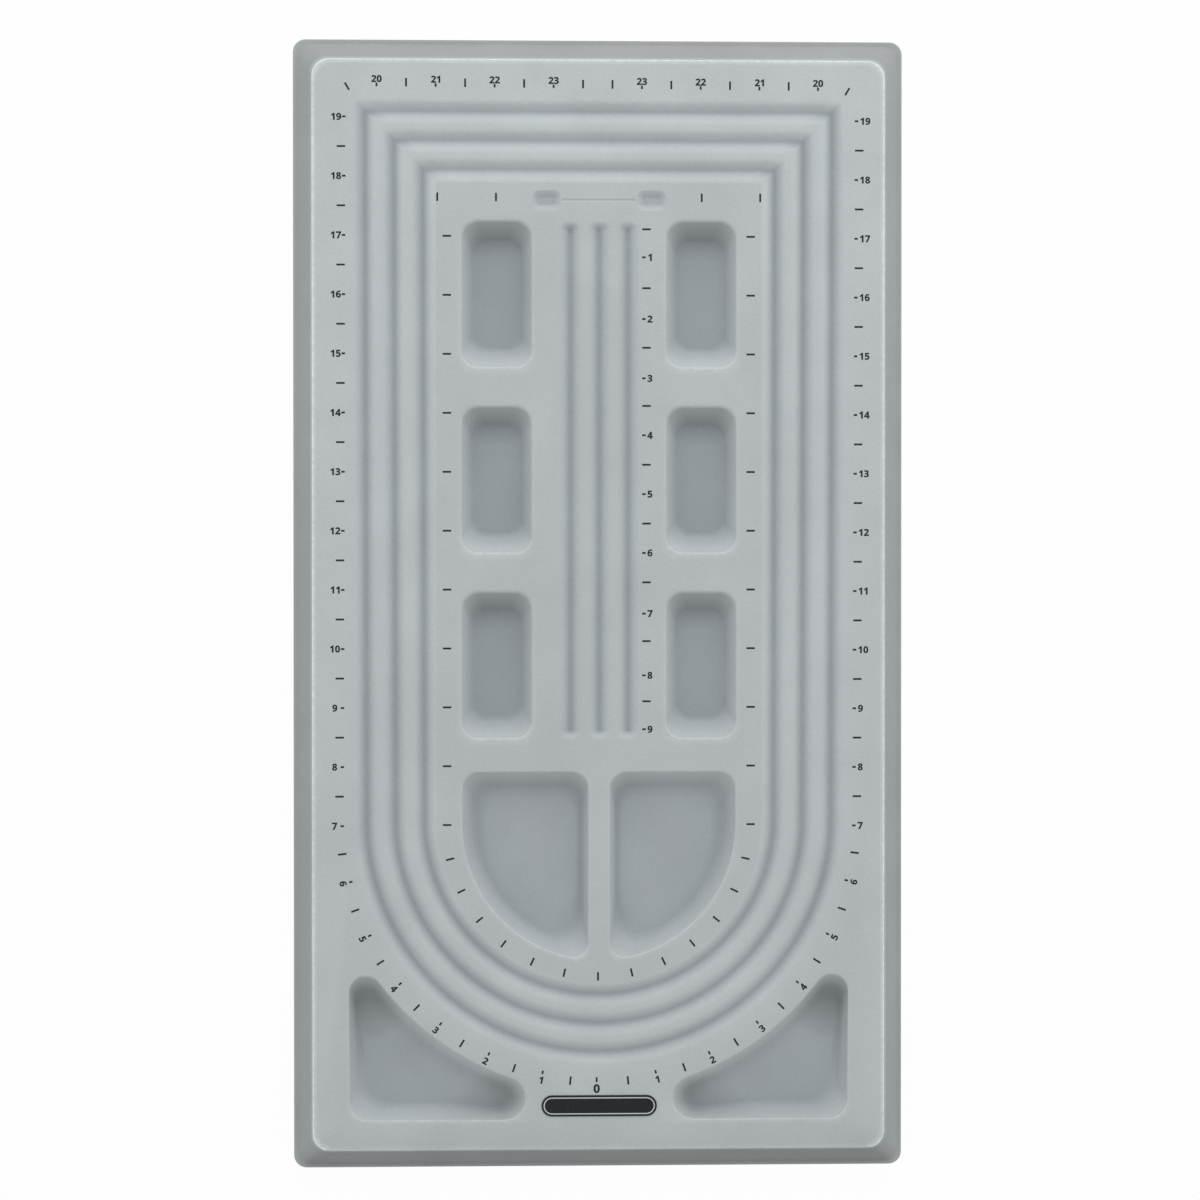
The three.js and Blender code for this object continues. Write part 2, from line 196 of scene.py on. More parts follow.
    # Painted shade: how much darker the pile is drawn inside the channels, along the deck's lower end and
    # in each kind of recess
    field_pressed: share("Field pressing", "How flat the pile lies inside the channels", 0.15)
    foot_pressed: share("Foot pressing", "How flat the pile lies along the deck's lower edge", 0.3)
    channel_ease: share("Channel easing", "How much less it is pressed where a channel runs across", 0.55)
    channel_pressed: share("Channel pressing", "How flat the pile lies at the bottom of a channel", 1.0)
    box_pressed: share("Box pressing", "How flat the pile lies on the box pockets' floors", 1.0)
    quarter_pressed: share("Quarter pressing", "How flat the pile lies on the quarter floors", 0.7)
    corner_pressed: share("Corner pressing", "How flat the pile lies on the corner pockets' floors", 0.8)
    well_pressed: share("Well pressing", "How flat the pile lies in the finger wells", 0.6)
    groove_pressed: share("Groove pressing", "How flat the pile lies in the needle groove", 0.2)


class PrintSizes(bpy.types.PropertyGroup):
    """Sizes of the printed scale and the badge."""

    tick_length: length("Tick length", "Length of a half-inch tick", 3.65)
    tick_width: length("Tick width", "Width of every tick", 0.8)
    dash_length: length("Dash length", "Length of the dash beside a number", 1.5)
    figure_height: length("Figure height", "Height of a number", 3.1)
    zero_height: length("Zero height", "Height of the zero above the badge", 3.9)
    film: length("Ink film", "Thickness of the ink on the pile", 0.04)
    badge_edge: length("Badge edge", "Rounding of the badge's upper edge", 0.15)
    keyline_inset: length("Keyline inset", "From the badge's edge to its pale line", 0.75)
    keyline_width: length("Keyline width", "Width of the badge's pale line", 0.45)


class BoardColours(bpy.types.PropertyGroup):
    """Colours of the board's finishes."""

    flock: colour("Flock", "Standing pile on the deck", "b9bfc1")
    # Painted shade of the recesses and of the deck's lower end
    flock_pressed: colour("Pressed flock", "Pile pressed flat on the pocket floors", "99a0a3")
    # Darker, greyer colour of the outer wall and its lip
    flock_side: colour("Side flock", "Thin pile on the outer wall", "9ea2a3")
    # Painted highlight along the deck's outer edge and the pockets' rims
    flock_edge: colour("Flock edge", "Worn pile on the outer edge", "f2f6f6")
    # Painted shade on walls that face the badge, away from the soft box
    lean_shade: share("Leaning flock", "Light that is left where the pile leans most", 0.5)
    sheet: colour("Sheet", "Formed plastic sheet", "a2a7a7")
    ink: colour("Ink", "Printed scale and badge", "141618")
    keyline: colour("Keyline", "Pale line in the badge", "c4c9ca")


class StageSettings(bpy.types.PropertyGroup):
    """Camera and light of the studio."""

    lens: bpy.props.FloatProperty(
        name="Lens", description="Focal length", default=83.7, min=1, unit="CAMERA"
    )
    camera_place: bpy.props.FloatVectorProperty(
        name="Camera",
        description="Where the camera stands",
        default=(-0.0359, 0.0128, 1.2173),
        size=3,
        unit="LENGTH",
    )
    camera_turn: bpy.props.FloatVectorProperty(
        name="Camera turn",
        description="How the camera is turned from straight down",
        default=[math.radians(a) for a in (-0.516, -1.726, -0.015)],
        size=3,
        subtype="EULER",
    )
    sky: bpy.props.FloatProperty(
        name="Sky", description="Even light from all round", default=0.735, min=0
    )
    lamp_power: bpy.props.FloatProperty(
        name="Lamp", description="Power of the soft box", default=9.5, min=0, unit="POWER"
    )
    lamp_place: bpy.props.FloatVectorProperty(
        name="Lamp place",
        description="Where the soft box hangs",
        default=(0.15, 1.23, 0.87),
        size=3,
        unit="LENGTH",
    )
    lamp_size: length("Lamp size", "Side of the soft box", 1100)


class Detail:
    """How many steps a round takes."""

    def __init__(self, shoulder, foot, corner, arc):
        self.shoulder, self.foot, self.corner, self.arc = shoulder, foot, corner, arc


SEEN = Detail(shoulder=7, foot=4, corner=9, arc=60)
HIDDEN = Detail(shoulder=2, foot=2, corner=9, arc=24)


class Slope:
    """Section of a sloping wall: a round shoulder, a straight flank and a round foot."""

    def __init__(self, run, drop, shoulder, foot):
        self.run, self.drop, self.shoulder, self.foot = run, drop, shoulder, foot
        rise = drop - shoulder - foot
        self.angle = math.atan2(rise, run) + math.asin((shoulder + foot) / math.hypot(run, rise))

    def steps(self, depth, detail):
        """Insets in plan and drops below the deck, for the face at a depth in the skin."""
        bend, sole = self.shoulder - depth, self.foot + depth

        def on_foot(turn):
            return self.run - sole * math.sin(turn), self.drop - self.foot + sole * math.cos(turn)

        down = []
        if bend > TOUCH:
            for i in range(detail.shoulder + 1):
                turn = self.angle * i / detail.shoulder
                down.append((bend * math.sin(turn), self.shoulder - bend * math.cos(turn)))
        else:
            down.append((bend * math.tan(self.angle / 2), depth))
        start, end = Vector(down[-1]), Vector(on_foot(self.angle))
        down += [start.lerp(end, part)[:] for part in HOLD]
        down += [on_foot(self.angle * i / detail.foot) for i in range(detail.foot, -1, -1)]
        return down

    def share(self, inset):
        """How far down the slope an inset lies, from 0 at the rim to 1 at the floor."""
        return min(1, max(0, inset / self.run))


class Plan:
    """Where the board's features lie, worked out from its sizes as on the solids."""

    rows = 3
    channels = 3

    def __init__(self, s):
        self.s = s
        self.deck = PILE_HIGH.z
        self.pitch = s.channel_width + s.ridge
        self.stack = self.channels * self.pitch - s.ridge
        self.straight_half = self.stack / 2
        self.box_x = self.straight_half + s.ruler_band + s.box_width / 2
        self.field_half = self.box_x + s.box_width / 2 + s.inner_band
        self.stack_half = self.field_half + self.stack
        self.half_width = self.stack_half + s.outer_band
        needle_band = s.needle_top_band + s.well_length + s.needle_foot_band
        self.rows_length = self.rows * s.box_length + (self.rows - 1) * s.box_row_gap
        above_rows = s.top_band + self.stack + needle_band
        above_arc = above_rows + self.rows_length + s.quarter_top_band + s.quarter_rise
        self.half_length = (above_arc + self.stack_half + s.badge_band) / 2
        self.field_top = self.half_length - s.top_band - self.stack
        self.needle_y = self.field_top - s.needle_top_band - s.well_length / 2
        self.rows_top = self.field_top - needle_band
        self.rows_y = self.rows_top - self.rows_length / 2
        self.quarter_top = self.rows_top - self.rows_length - s.quarter_top_band
        self.arc_y = self.quarter_top - s.quarter_rise
        self.arc_radius = self.stack_half + s.arc_band
        self.corner_side = self.half_width - s.corner_side_band
        self.corner_foot = self.arc_y + self.half_length - s.corner_foot_band
        badge_end = (BADGE_HIGH.x - BADGE_LOW.x) / 2 + s.corner_badge_gap
        self.side_tip = self.tip(self.corner_side, s.corner_drop)
        self.foot_tip = self.tip(self.corner_foot, badge_end)
        self.channel = Slope(
            (s.channel_width - s.channel_floor) / 2, s.channel_depth, s.channel_shoulder, s.channel_foot
        )
        self.pocket = Slope(s.pocket_run, s.pocket_depth, s.pocket_shoulder, s.pocket_foot)
        self.curved = Slope(s.curved_run, s.pocket_depth, s.curved_shoulder, s.curved_foot)
        self.well = Slope(s.well_run, s.well_depth, s.well_shoulder, s.well_foot)
        self.groove = Slope(s.groove_run, s.groove_depth, s.groove_edge, s.groove_edge)
        self.wall_drop = self.deck - (SHEET_LOW.z + self.skin())
        self.wall = Slope(s.wall_side_run, self.wall_drop, s.wall_shoulder, s.wall_foot)

    def skin(self):
        """Thickness of the whole skin, which is how high the tips of the pile stand at the lip."""
        return PILE_LOW.z + self.s.pile_thickness - SHEET_LOW.z

    def tip(self, to_edge, to_end):
        """Radius of the round tip between the arc and a straight edge, from how far along it ends."""
        half = to_edge + self.arc_radius - to_end
        return half - math.sqrt(half**2 - to_edge**2 - to_end**2 + self.arc_radius**2)


class Pen:
    """Draws edges in a mesh: straight runs are extruded and round ones are spun."""

    def __init__(self, bm, x, y, z, axis=UP):
        self.bm, self.axis = bm, axis
        self.first = self.last = bm.verts.new((x, y, z))

    def line(self, x, y, z):
        grown = bmesh.ops.extrude_vert_indiv(self.bm, verts=[self.last])
        self.last = grown["verts"][0]
        self.last.co = (x, y, z)
        return self

    def flank(self, x, y, z):
        """Straight run with a vertex close to each end, so that the rounds beside it don't shade it."""
        start, end = self.last.co.copy(), Vector((x, y, z))
        for part in HOLD:
            self.line(*start.lerp(end, part))
        return self.line(*end)

    def turn(self, x, y, z, angle, steps):
        spun = bmesh.ops.spin(
            self.bm, geom=[self.last], cent=(x, y, z), axis=self.axis, angle=angle, steps=steps
        )
        self.last = next(g for g in spun["geom_last"] if isinstance(g, bmesh.types.BMVert))
        return self

    def edges(self):
        """The edges from the first vertex to the last."""
        run, at, before = [], self.first, None
        while True:
            ahead = [e for e in at.link_edges if e is not before]
            if not ahead or (run and at is self.first):
                return run
            before = ahead[0]
            run.append(before)
            at = before.other_vert(at)

    def closed(self):
        self.bm.edges.new((self.last, self.first))
        return self.edges()


def box_ring(bm, half_x, half_y, corner, z, steps):
    """Rectangle with round corners, about the middle."""
    pen = Pen(bm, half_x, 0, z)
    flat_x, flat_y = half_x - corner, half_y - corner
    quarter = math.pi / 2
    pen.line(half_x, flat_y, z).turn(flat_x, flat_y, z, quarter, steps)
    pen.line(-flat_x, half_y, z).turn(-flat_x, flat_y, z, quarter, steps)
    pen.line(-half_x, -flat_y, z).turn(-flat_x, -flat_y, z, quarter, steps)
    pen.line(flat_x, -half_y, z).turn(flat_x, -flat_y, z, quarter, steps)
    return pen.closed()


def join_rings(bm, rings):
    """Smooth wall through a row of rings."""
    for one, next_one in zip(rings, rings[1:]):
        for face in bmesh.ops.bridge_loops(bm, edges=one + next_one)["faces"]:
            face.smooth = True


def fill_level(bm, edges):
    """Level face between loops of edges."""
    filled = bmesh.ops.triangle_fill(bm, edges=edges, use_beauty=True, normal=UP)
    for face in only(filled["geom"], bmesh.types.BMFace):
        face.smooth = False


def open_loop(vert):
    """The loop of open edges through a vertex."""
    run, at, before = [], vert, None
    while not run or at is not vert:
        before = next(e for e in at.link_edges if e.is_boundary and e is not before)
        run.append(before)
        at = before.other_vert(at)
    return run


def new_part():
    """Empty mesh with the layers that the pile's material reads."""
    bm = bmesh.new()
    for name in PILE_LAYERS:
        bm.verts.layers.float.new(name)
    return bm


def only(geom, kind):
    """The elements of one kind."""
    return [g for g in geom if isinstance(g, kind)]


def ends(edges):
    """The vertices of a ring of edges."""
    return {vert for edge in edges for vert in edge.verts}


def tilt(vert):
    """The way the skin's upper side slopes at a vertex, in plan. Its length is the sine of the slope."""
    return vert.normal.xy * math.copysign(1, vert.normal.z)


def shift(x, y):
    return Matrix.Translation((x, y, 0))


def pair(y):
    """Right-hand place and its mirror image, about a point on the middle line."""
    return [shift(0, y), shift(0, y) @ Matrix.Scale(-1, 4, (1, 0, 0))]


def ease(rim, floor, share):
    """A corner's radius part of the way down a slope."""
    return rim + (floor - rim) * share


class Skin:
    """One whole face of the formed skin, at a depth below the tips of the pile."""

    # Painted shade sets in late on the way down a slope
    press_curve = 2.2
    # Each step down a wall keeps this much of the painted shade above it
    carry = 0.9
    # The painted rim highlight reaches this many rings down a pocket's rim. It is less on the first, and
    # ends past the sides
    worn_rings = 4
    first_wear = 0.5
    side_wear = 0.4
    # The painted shade in the tips is full from this part of a pocket's depth on
    crowd_start = 0.1
    # For the painted shade, channels of the arc count as running less across the board than those of the
    # top
    arc_across = 0.6
    # The top channels' painted shade eases this far inside their mitres, by this part of their run
    mitre_gap = 0.001
    mitre_part = 0.92
    # A box's corners take up no more than this part of its half width
    widest_corner = 0.9
    # Painted highlight on the outer wall's upper rings, and the part of it at the board's lower end
    wall_wear = (0.4, 1, 1)
    foot_wear = 0.3
    # The lower wall's painted shade from facing the badge stops short of the corners, and its painted
    # shade along the board's lower end fades round them
    lean_narrow = 6
    foot_fade = 1.3
    # The lip takes this part of the outer wall's darker grey
    lip_coat = 0.7

    def __init__(self, plan, depth, detail, grooved=False):
        self.plan, self.depth, self.detail = plan, depth, detail
        self.bm = new_part()
        outer = self.channel_stack()
        self.box_pockets()
        self.quarter_pockets()
        self.straight_channels()
        self.wells()
        if grooved:
            self.needle_groove()
        fill_level(self.bm, [e for e in self.rims() if e not in outer])
        self.corner_pockets()
        self.outer_wall()
        fill_level(self.bm, self.rims())

    def rims(self):
        """The open edges at deck level."""
        low = self.plan.deck - self.depth - TOUCH
        return [e for e in self.bm.edges if e.is_boundary and e.verts[0].co.z > low]

    def set_down(self, bm, places):
        """Adds a drawn part at each place."""
        mesh = bpy.data.meshes.new("part")
        bm.to_mesh(mesh)
        bm.free()
        for place in places:
            copy = mesh.copy()
            copy.transform(place)
            self.bm.from_mesh(copy)
            bpy.data.meshes.remove(copy)
        bpy.data.meshes.remove(mesh)

    def sunk(self, vert):
        """How far a vertex lies below the deck."""
        return self.plan.deck - self.depth - vert.co.z

    def press(self, bm, drop, amount, least=0):
        """Marks painted shade, darker from the rim down to the floor."""
        layer = bm.verts.layers.float["pressed"]
        for vert in bm.verts:
            vert[layer] = max(least, amount * max(0, self.sunk(vert) / drop) ** self.press_curve)

    def lean(self, bm, slope, amount, narrow=1):
        """Marks painted shade on each wall as far as it faces the badge, away from the soft box, carried
        down to its foot.
        """
        layer = bm.verts.layers.float["painted_dimming"]
        steepest = math.sin(slope.angle)
        bm.normal_update()
        for vert in sorted(bm.verts, key=lambda v: -v.co.z):
            steep = tilt(vert).length
            facing = max(0, -tilt(vert).y / max(TOUCH, steep))
            above = max((e.other_vert(vert) for e in vert.link_edges), key=lambda v: v.co.z)
            carried = above[layer] * self.carry if above.co.z > vert.co.z + TOUCH else 0
            vert[layer] = max(carried, amount * facing**narrow * min(1, steep / steepest))

    def rub(self, bm, rings, amount, relief):
        """Marks a painted highlight on a pocket's rim, most on the badge's side, and evens the painted
        shade of its walls.
        """
        highlight, pressed = (bm.verts.layers.float[name] for name in ("painted_highlight", "pressed"))
        for step, ring in enumerate(rings):
            for vert in ends(ring):
                slope = tilt(vert)
                away = slope.y / slope.length if slope.length > TOUCH else 0
                if step < self.worn_rings:
                    lit = max(0, away + self.side_wear) / (1 + self.side_wear)
                    vert[highlight] = self.plan.s.rim_wear * lit * (1 if step else self.first_wear)
                if step:
                    vert[pressed] *= 1 + (1 / amount - 1) * (1 - abs(away)) - relief * (1 - max(0, away))

    def crowd(self, bm, tips, drop):
        """Marks painted shade in a pocket's narrow tips."""
        layer = bm.verts.layers.float["painted_dimming"]
        for vert in bm.verts:
            depth = min(1, self.sunk(vert) / drop / self.crowd_start)
            for tip, amount, reach in tips:
                near = amount * max(0, 1 - (vert.co.xy - tip).length / reach)
                vert[layer] = max(vert[layer], near * depth)

    def walls(self, bm, slope, ring):
        """Walls of a recess down a slope. Gives their rings, from the rim to the floor."""
        steps = slope.steps(self.depth, self.detail)
        rings = [ring(bm, inset, self.plan.deck - drop) for inset, drop in steps]
        join_rings(bm, rings)
        return rings

    def box(self, slope, half_x, half_y, rim_corner, floor_corner, share=1, grow=-1):
        """Gives the function that draws a box's rings down a slope, which widen where grow is 1."""

        def ring(bm, inset, z):
            wide, long = half_x + grow * inset, half_y + grow * inset * share
            corner = ease(rim_corner, floor_corner, slope.share(inset))
            corner = min(self.widest_corner * wide, corner)
            return box_ring(bm, wide, long, corner, z, self.detail.corner)

        return ring

    def recess(self, slope, ring, places, pressed):
        """Recess down a slope with painted shade down its walls, drawn once and set down at each place.
        """
        bm = new_part()
        fill_level(bm, self.walls(bm, slope, ring)[-1])
        self.press(bm, slope.drop, pressed, self.plan.s.field_pressed)
        self.set_down(bm, places)

    def pocket(self, slope, ring, places, pressed, fade, painted_dimming=0, relief=0, tips=()):
        """Recess with a band round its rim, where the painted highlight dies away, and one round its
        floor, where the painted shade dies away.
        """
        bm = new_part()
        s, rim = self.plan.s, self.plan.deck - self.depth
        rings = self.walls(bm, slope, ring)
        self.lean(bm, slope, painted_dimming)
        self.press(bm, slope.drop, pressed, s.field_pressed)
        self.rub(bm, rings, pressed, relief)
        edge = ring(bm, -s.rim_band, rim)
        fill_level(bm, rings[0] + edge)
        middle = ring(bm, slope.run + fade, rim - slope.drop)
        fill_level(bm, rings[-1] + middle)
        fill_level(bm, middle)
        layer = bm.verts.layers.float["pressed"]
        for loop, amount in ((edge, s.field_pressed), (middle, pressed)):
            for vert in ends(loop):
                vert[layer] = amount
        self.crowd(bm, tips, slope.drop)
        self.set_down(bm, places)

    def channel_stack(self):
        """The channels that run round as a U, closed along the top. Gives their outer edge."""
        bm, plan, depth, detail = self.bm, self.plan, self.depth, self.detail
        slope, y = plan.channel, plan.arc_y - plan.s.arc_drop
        angle, bend, sole = slope.angle, slope.shoulder - depth, slope.foot + depth
        rim, shoulder_z = plan.deck - depth, plan.deck - slope.shoulder
        foot_z = plan.deck - slope.drop + slope.foot
        sine, cosine = math.sin(angle), math.cos(angle)
        pen = None
        for i in range(plan.channels):
            near = plan.field_half + i * plan.pitch
            far = near + plan.s.channel_width
            pen = pen.line(near, y, rim) if pen else Pen(bm, near, y, rim, Vector((0, 1, 0)))
            pen.turn(near, y, shoulder_z, angle, detail.shoulder)
            pen.flank(near + slope.run - sole * sine, y, foot_z - sole * cosine)
            pen.turn(near + slope.run, y, foot_z, -angle, detail.foot)
            pen.line(far - slope.run, y, foot_z - sole)
            pen.turn(far - slope.run, y, foot_z, -angle, detail.foot)
            pen.flank(far - bend * sine, y, shoulder_z + bend * cosine)
            pen.turn(far, y, shoulder_z, angle, detail.shoulder)
        section = pen.edges()
        bmesh.ops.spin(bm, geom=section, cent=(0, y, 0), axis=UP, angle=-math.pi / 2, steps=detail.arc)
        mitre = Matrix.Identity(4)
        mitre[1] = (1, 0, 0, plan.field_top - plan.field_half)
        side = bmesh.ops.extrude_edge_only(bm, edges=section)["geom"]
        bmesh.ops.transform(bm, matrix=mitre, verts=only(side, bmesh.types.BMVert))
        top = side
        for narrowing in (self.mitre_part, 0):
            top = bmesh.ops.extrude_edge_only(bm, edges=only(top, bmesh.types.BMEdge))["geom"]
            bmesh.ops.scale(bm, vec=(narrowing, 1, 1), verts=only(top, bmesh.types.BMVert))
        bmesh.ops.mirror(bm, geom=bm.verts[:] + bm.edges[:] + bm.faces[:], merge_dist=TOUCH, axis="X")
        for face in bm.faces:
            face.smooth = True
        # Painted shade down the channels, less where they run across the board, and the field's own at
        # their inner edge
        self.press(bm, slope.drop, plan.s.channel_pressed)
        layer = bm.verts.layers.float["pressed"]
        for vert in bm.verts:
            vert[layer] *= 1 - plan.s.channel_ease * self.across(vert.co)
        for vert in ends(open_loop(pen.first)):
            vert[layer] = plan.s.field_pressed
        return set(open_loop(pen.last))

    def across(self, place):
        """How far a U channel runs across the board at a place, from 0 along it to 1 across it."""
        plan = self.plan
        below = plan.arc_y - place.y
        if below > 0:
            return self.arc_across * below**2 / (below**2 + place.x**2)
        return float(abs(place.x) < plan.field_half + place.y - plan.field_top - self.mitre_gap)

    def box_pockets(self):
        plan, s = self.plan, self.plan.s
        share = s.box_end_run / s.pocket_run
        half_x, half_y = s.box_width / 2, (s.box_length + s.box_lift) / 2
        ring = self.box(plan.pocket, half_x, half_y, s.box_corner, s.box_floor_corner, share)
        pitch = s.box_length + s.box_row_gap
        rows = [plan.rows_y + pitch * (i - (plan.rows - 1) / 2) for i in range(plan.rows)]
        places = [shift(x, y + s.box_lift / 2) for x in (-plan.box_x, plan.box_x) for y in rows]
        self.pocket(plan.pocket, ring, places, s.box_pressed, s.box_fade, painted_dimming=s.box_lean)

    def straight_channels(self):
        plan, s = self.plan, self.plan.s
        share = s.channel_end_run / plan.channel.run
        half_x, half_y, floor_corner = s.channel_width / 2, plan.rows_length / 2, s.channel_floor / 3
        ring = self.box(plan.channel, half_x, half_y, s.channel_end_corner, floor_corner, share)
        middles = [plan.pitch * (i - (plan.channels - 1) / 2) for i in range(plan.channels)]
        self.recess(plan.channel, ring, [shift(x, plan.rows_y) for x in middles], s.channel_pressed)

    def wells(self):
        plan, s = self.plan, self.plan.s
        half_x, half_y, half = s.well_width / 2, s.well_length / 2, s.well_spacing / 2
        ring = self.box(plan.well, half_x, half_y, s.well_corner, s.well_floor_corner)
        self.recess(plan.well, ring, [shift(x, plan.needle_y) for x in (-half, half)], s.well_pressed)

    def needle_groove(self):
        plan, s = self.plan, self.plan.s
        half_x, half_y = (s.well_spacing - s.well_width) / 2 - s.groove_gap, s.groove_width / 2
        ring = self.box(plan.groove, half_x, half_y, half_y - s.groove_edge, s.groove_edge)
        self.recess(plan.groove, ring, [shift(0, plan.needle_y)], s.groove_pressed)

    def quarter_pockets(self):
        plan, s = self.plan, self.plan.s
        quarter = math.pi / 2

        def ring(bm, inset, z):
            share = plan.curved.share(inset)
            inner = s.quarter_divider / 2 + inset * s.quarter_divider_run / s.curved_run
            outer = plan.field_half - s.quarter_band - inset
            foot = ease(s.quarter_foot_corner, s.quarter_floor_foot, share)
            top = ease(s.quarter_top_corner, s.quarter_floor_corner, share)
            foot_x = inner + foot
            foot_y = -math.sqrt((outer - foot) ** 2 - foot_x**2)
            foot_turn = math.atan2(foot_y, foot_x)
            top_y = s.quarter_rise + s.quarter_drop - inset * s.quarter_top_run / s.curved_run
            steps = self.detail.corner
            pen = Pen(bm, inner, 0, z)
            pen.line(inner, foot_y, z).turn(foot_x, foot_y, z, math.pi + foot_turn, steps)
            pen.turn(0, 0, z, -foot_turn, self.detail.arc // 2)
            pen.line(outer, top_y - top, z).turn(outer - top, top_y - top, z, quarter, steps)
            pen.line(inner + top, top_y, z).turn(inner + top, top_y - top, z, quarter, steps)
            return pen.closed()

        places = pair(plan.arc_y - s.quarter_drop)
        self.pocket(plan.curved, ring, places, s.quarter_pressed, s.quarter_fade, painted_dimming=s.quarter_lean)

    def corner_pockets(self):
        plan, s = self.plan, self.plan.s

        def tips(inset, side_tip, foot_tip):
            """Middles of the two round tips."""
            radius = plan.arc_radius + inset * s.corner_arc_run / s.curved_run
            side_x = plan.corner_side - inset * s.corner_side_run / s.curved_run - side_tip
            foot_y = inset * s.corner_foot_run / s.curved_run - plan.corner_foot + foot_tip
            side_y = -math.sqrt((radius + side_tip) ** 2 - side_x**2)
            foot_x = math.sqrt((radius + foot_tip) ** 2 - foot_y**2)
            return Vector((side_x, side_y)), Vector((foot_x, foot_y))

        def ring(bm, inset, z):
            share = plan.curved.share(inset)
            corner = ease(s.corner_corner, s.corner_floor_corner, share)
            side_tip = ease(plan.side_tip, s.corner_floor_tip, share)
            foot_tip = ease(plan.foot_tip, s.corner_floor_tip, share)
            edge_x, edge_y = plan.corner_side - inset, inset - plan.corner_foot
            (side_x, side_y), (foot_x, foot_y) = tips(inset, side_tip, foot_tip)
            side_turn, foot_turn = math.atan2(side_y, side_x), math.atan2(foot_y, foot_x)
            steps = self.detail.corner
            corner_x, corner_y = edge_x - corner, edge_y + corner
            pen = Pen(bm, (foot_x + corner_x) / 2, edge_y, z)
            pen.line(corner_x, edge_y, z).turn(corner_x, corner_y, z, math.pi / 2, steps)
            pen.line(side_x + side_tip, side_y, z).turn(side_x, side_y, z, math.pi + side_turn, steps)
            pen.turn(0, 0, z, foot_turn - side_turn, self.detail.arc // 2)
            pen.turn(foot_x, foot_y, z, math.pi / 2 - foot_turn, steps)
            return pen.closed()

        places, relief = pair(plan.arc_y), s.corner_relief
        side, foot = tips(s.curved_run, s.corner_floor_tip, s.corner_floor_tip)
        full = (
            (side, s.corner_side_crowd, s.corner_side_reach),
            (foot, s.corner_foot_crowd, s.corner_foot_reach),
        )
        self.pocket(plan.curved, ring, places, s.corner_pressed, s.corner_fade, relief=relief, tips=full)

    def outer_wall(self):
        """The sloping wall round the board, down to the trimmed lip."""
        plan, s = self.plan, self.plan.s
        share = s.wall_end_run / s.wall_side_run
        ring = self.box(
            plan.wall, plan.half_width, plan.half_length, s.wall_corner, s.lip_corner, share, grow=1
        )
        bm = new_part()
        rim = plan.deck - self.depth
        rings = self.walls(bm, plan.wall, ring)
        fill_level(bm, rings[0] + ring(bm, -s.wear_band, rim))
        fill_level(bm, rings[-1] + ring(bm, s.wall_side_run + s.lip, rim - plan.wall_drop))
        self.coat_wall(bm, rings)
        for vert in bm.verts:
            if vert.co.y < 0:
                vert.co.y -= s.foot_reach * (1 - self.sunk(vert) / plan.wall_drop)
        self.set_down(bm, [shift(0, 0)])

    def coat_wall(self, bm, rings):
        """Marks the outer wall's darker grey, its painted shade where it faces towards or away from the
        badge and along the board's lower end, and its painted highlight along the deck's edge.
        """
        plan, s = self.plan, self.plan.s
        pressed, painted_dimming, side, highlight = (bm.verts.layers.float[name] for name in PILE_LAYERS)
        steepest = math.sin(plan.wall.angle)
        self.lean(bm, plan.wall, s.wall_lean, self.lean_narrow)
        for vert in bm.verts:
            past_side = abs(vert.co.x) - plan.half_width - s.wall_side_run
            past_end = abs(vert.co.y) - plan.half_length - s.wall_end_run
            on_lip = max(past_side, past_end) > TOUCH
            vert[side] = self.lip_coat if on_lip else min(1, self.sunk(vert) / s.wall_shoulder)
            # Painted shade along the board's lower end
            low = self.foot_fade * (1 - (vert.co.y + plan.half_length) / s.wall_corner)
            vert[pressed] = s.foot_pressed * min(1, max(0, low))
            # Painted shade on the outer wall where it faces away from the badge
            vert[painted_dimming] = max(vert[painted_dimming], s.wall_back_lean * tilt(vert).y / steepest)
        # Painted highlight along the deck's edge, weaker at the board's lower end
        for ring, amount in zip(rings, self.wall_wear):
            for vert in ends(ring):
                vert[highlight] = amount * (self.foot_wear if vert.co.y < TOUCH - plan.half_length else 1)

    def mesh(self, name):
        made = bpy.data.meshes.new(name)
        self.bm.to_mesh(made)
        self.bm.free()
        return made


def skin_layer(name, plan, top, foot, top_detail, foot_detail, grooved=False):
    """Closed layer of the skin between two depths, trimmed square at the lip."""
    bm = bmesh.new()
    for mesh in (
        Skin(plan, top, top_detail, grooved).mesh(name + "_top"),
        Skin(plan, foot, foot_detail).mesh(name + "_foot"),
    ):
        bm.from_mesh(mesh)
        bpy.data.meshes.remove(mesh)
    lips = [e for e in bm.edges if e.is_boundary]
    bmesh.ops.bridge_loops(bm, edges=lips)
    for edge in lips:
        edge.smooth = False
    bmesh.ops.recalc_face_normals(bm, faces=bm.faces)
    return finished(name, bm)


def finished(name, bm, *materials):
    """Object at the origin, made from a mesh in place."""
    mesh = bpy.data.meshes.new(name)
    bm.to_mesh(mesh)
    bm.free()
    piece = bpy.data.objects.new(name, mesh)
    bpy.context.scene.collection.objects.link(piece)
    for material in materials:
        mesh.materials.append(material)
    return piece


def add_node(tree, kind, inputs=None, **settings):
    """Adds a node, sets its fields, and sets or links its inputs."""
    node = tree.nodes.new(kind)
    for name, value in settings.items():
        setattr(node, name, value)
    for name, value in (inputs or {}).items():
        if isinstance(value, bpy.types.NodeSocket):
            tree.links.new(value, node.inputs[name])
        else:
            node.inputs[name].default_value = value
    return node


def blank_material(name):
    material = bpy.data.materials.new(name)
    material.use_nodes = True
    material.node_tree.nodes.clear()
    return material, material.node_tree


def rgba(value):
    return (*value, 1)


